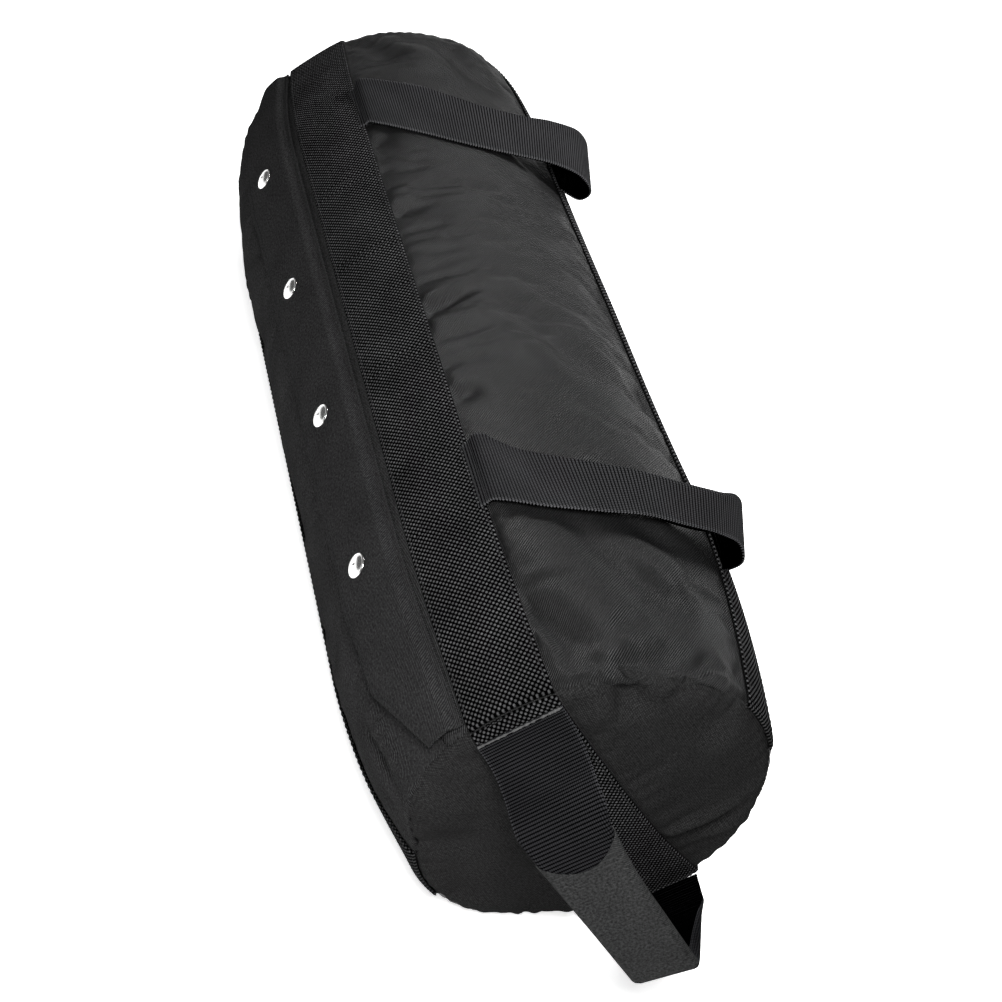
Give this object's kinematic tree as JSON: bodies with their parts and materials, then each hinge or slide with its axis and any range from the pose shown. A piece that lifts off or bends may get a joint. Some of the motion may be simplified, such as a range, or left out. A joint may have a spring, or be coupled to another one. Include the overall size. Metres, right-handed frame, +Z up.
{
  "type": "sandbag",
  "caption": "Cylindrical black fabric sandbag with lengthwise webbing, grab handles over the top, a webbing handle on each round end and a snapped flap over its zip.",
  "frame": {"origin": "middle of the flat underside that the bag rests on, below the middle of its length", "axes": "+X along the bag to the near end, +Z up through the middle of the top panel, +Y to the rear; the flap and its snaps are on the front, -Y"},
  "size_m": [0.8361, 0.2507, 0.2614],
  "materials": {
    "body_cloth": "black fine twill nylon, slight satin sheen",
    "end_cloth": "black plain-weave nylon, matte",
    "coarse_webbing": "black coarse basket-weave webbing, soft sheen on each yarn",
    "ribbed_webbing": "black ribbed herringbone webbing",
    "nickel": "bright nickel plate",
    "dark_metal": "black painted",
    "zip_tape": "black woven polyester tape",
    "coil_plastic": "black nylon coil",
    "liner_cloth": "dark grey plain cloth",
    "sand": "dry loose sand",
    "hook_and_loop": "black hook and loop pile"
  },
  "bodies": {
    "bag": {"base_panel": "body_cloth", "end_far_lower_tab": "ribbed_webbing", "end_far_upper_tab": "ribbed_webbing", "end_near_lower_tab": "ribbed_webbing", "end_near_upper_tab": "ribbed_webbing", "end_panel_far": "end_cloth", "end_panel_near": "end_cloth", "end_strip_far": "coarse_webbing", "end_strip_near": "coarse_webbing", "flap_hem": "body_cloth", "front_panel_lower": "body_cloth", "front_panel_upper": "body_cloth", "grab_far_front_tab": "ribbed_webbing", "grab_far_rear_tab": "ribbed_webbing", "grab_near_front_tab": "ribbed_webbing", "grab_near_rear_tab": "ribbed_webbing", "hook_strip_far": "hook_and_loop", "hook_strip_near": "hook_and_loop", "liner_far": "liner_cloth", "liner_near": "liner_cloth", "loop_strip_far": "hook_and_loop", "loop_strip_near": "hook_and_loop", "rear_panel": "body_cloth", "sand_far": "sand", "sand_near": "sand", "snap_rivet_1": "dark_metal", "snap_rivet_2": "dark_metal", "snap_rivet_3": "dark_metal", "snap_rivet_4": "dark_metal", "snap_stud_1": "nickel", "snap_stud_2": "nickel", "snap_stud_3": "nickel", "snap_stud_4": "nickel", "top_panel": "body_cloth", "webbing_base_front": "coarse_webbing", "webbing_base_rear": "coarse_webbing", "webbing_top_front": "coarse_webbing", "webbing_top_rear": "coarse_webbing", "zip_coil_lower": "coil_plastic", "zip_coil_upper": "coil_plastic", "zip_stop_far": "dark_metal", "zip_stop_near": "dark_metal", "zip_tape_lower": "zip_tape", "zip_tape_upper": "zip_tape"},
    "flap": {"flap": "body_cloth", "snap_cap_1": "nickel", "snap_cap_2": "nickel", "snap_cap_3": "nickel", "snap_cap_4": "nickel", "snap_socket_1": "nickel", "snap_socket_2": "nickel", "snap_socket_3": "nickel", "snap_socket_4": "nickel"},
    "near_grab": {"grab_near_grip": "ribbed_webbing"},
    "far_grab": {"grab_far_grip": "ribbed_webbing"},
    "near_loop": {"end_near_loop": "ribbed_webbing"},
    "far_loop": {"end_far_loop": "ribbed_webbing"},
    "slider": {"zip_slider": "dark_metal"},
    "pull": {"zip_pull": "dark_metal"}
  },
  "joints": [
    {"name": "flap_hinge", "type": "hinge", "parent": "bag", "child": "flap", "pos_m": [0, -0.11448, 0.16686], "axis": [-1, 0, 0], "range_deg": [0, 160]},
    {"name": "near_grab_swing", "type": "hinge", "parent": "bag", "child": "near_grab", "pos_m": [0.196, 0, 0.22989], "axis": [0.2197, 0.9756, 0], "range_deg": [-20, 15]},
    {"name": "far_grab_swing", "type": "hinge", "parent": "bag", "child": "far_grab", "pos_m": [-0.189, 0, 0.23016], "axis": [0.219, 0.9757, 0], "range_deg": [-20, 15]},
    {"name": "near_loop_swing", "type": "hinge", "parent": "bag", "child": "near_loop", "pos_m": [0.3555, 0.00852, 0.10282], "axis": [0, -0.7254, 0.6884], "range_deg": [-35, 35]},
    {"name": "far_loop_swing", "type": "hinge", "parent": "bag", "child": "far_loop", "pos_m": [-0.3555, 0.00852, 0.10282], "axis": [0, -0.7254, 0.6884], "range_deg": [-35, 35]},
    {"name": "zip_slide", "type": "slide", "parent": "bag", "child": "slider", "axis": [1, 0, 0], "range_m": [0, 0.336]},
    {"name": "pull_swivel", "type": "hinge", "parent": "slider", "child": "pull", "pos_m": [-0.168, -0.11483, 0.15499], "axis": [0, -0.9382, 0.3461], "range_deg": [-20, 20]}
  ]
}
